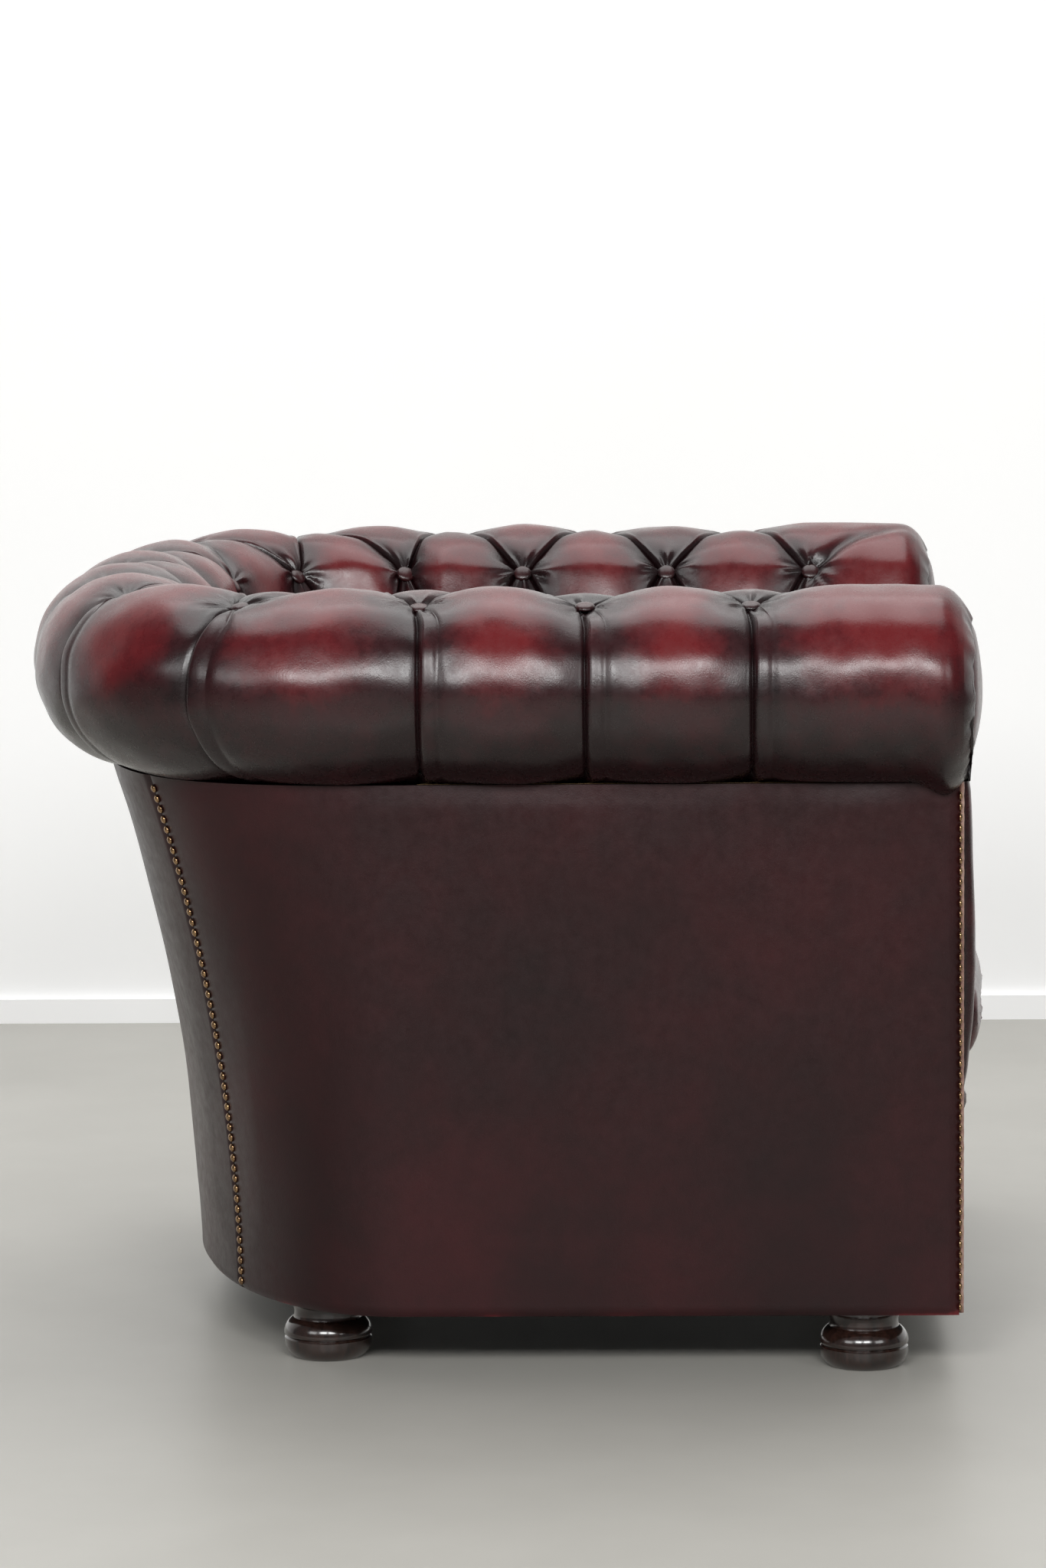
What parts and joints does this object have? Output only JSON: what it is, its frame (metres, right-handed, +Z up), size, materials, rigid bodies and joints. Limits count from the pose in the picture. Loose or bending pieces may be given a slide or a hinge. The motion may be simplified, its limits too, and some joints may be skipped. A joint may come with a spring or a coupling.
{
  "type": "chesterfield armchair",
  "caption": "Deep buttoned leather club armchair with rolled arms and a rolled tub back of one height, loose seat cushion, nailed panels and turned bun feet.",
  "frame": {"origin": "on the floor, under the middle of the chair's outer box", "axes": "+Z up, -Y towards the chair's front, -X towards the sitter's right"},
  "size_m": [1.0202, 0.9354, 0.741],
  "materials": {
    "oxblood_leather": "satin",
    "button_leather": "satin",
    "panel_leather": "satin",
    "piping_leather": "satin",
    "nail_brass": "satin",
    "foot_wood": "gloss",
    "beech": "matte",
    "plywood": "matte",
    "foam": "matte",
    "webbing": "matte",
    "deck_cloth": "matte",
    "dust_cloth": "matte",
    "spring_steel": "satin",
    "zinc_steel": "satin",
    "zip_tape": "matte",
    "zip_brass": "satin"
  },
  "bodies": {
    "chair": {"arm_board_left": "beech", "arm_board_right": "beech", "arm_buttons_left": "button_leather", "arm_buttons_right": "button_leather", "arm_foam_left": "foam", "arm_foam_right": "foam", "arm_leather_left": "oxblood_leather", "arm_leather_right": "oxblood_leather", "arm_post_left": "beech", "arm_post_right": "beech", "arm_tack_rails": "beech", "arm_webbing": "webbing", "back_board": "beech", "back_buttons": "button_leather", "back_foam": "foam", "back_leather": "oxblood_leather", "back_post_left": "beech", "back_post_right": "beech", "back_rail": "beech", "back_tack_rail": "beech", "back_uprights": "beech", "back_webbing": "webbing", "corner_blocks": "beech", "corner_rail_left": "beech", "corner_rail_right": "beech", "dust_cover": "dust_cloth", "foot_bolts": "zinc_steel", "foot_nuts": "zinc_steel", "front_border": "oxblood_leather", "front_foot_left": "foot_wood", "front_foot_right": "foot_wood", "front_nails_left": "nail_brass", "front_nails_right": "nail_brass", "front_piping_left": "piping_leather", "front_piping_right": "piping_leather", "front_post_left": "beech", "front_post_right": "beech", "front_rail": "beech", "outside_arm_left": "panel_leather", "outside_arm_right": "panel_leather", "outside_back": "panel_leather", "outside_rails": "beech", "rear_foot_left": "foot_wood", "rear_foot_right": "foot_wood", "rear_nails_left": "nail_brass", "rear_nails_right": "nail_brass", "scroll_board_left": "plywood", "scroll_board_right": "plywood", "scroll_facing_left": "oxblood_leather", "scroll_facing_right": "oxblood_leather", "seat_deck": "deck_cloth", "seat_springs": "spring_steel", "side_rail_left": "beech", "side_rail_right": "beech", "spring_clips": "spring_steel", "spring_rail": "beech"},
    "seat_cushion": {"cushion_cover": "oxblood_leather", "cushion_foam": "foam", "cushion_zip": "zip_tape"},
    "zip_slider": {"zip_slider": "zip_brass"}
  },
  "joints": [
    {"name": "cushion_lift", "type": "slide", "parent": "chair", "child": "seat_cushion", "axis": [0, 0, 1], "range_m": [0, 0.51]},
    {"name": "zip_slide", "type": "slide", "parent": "seat_cushion", "child": "zip_slider", "axis": [1, 0, 0], "range_m": [0, 0.38]}
  ]
}
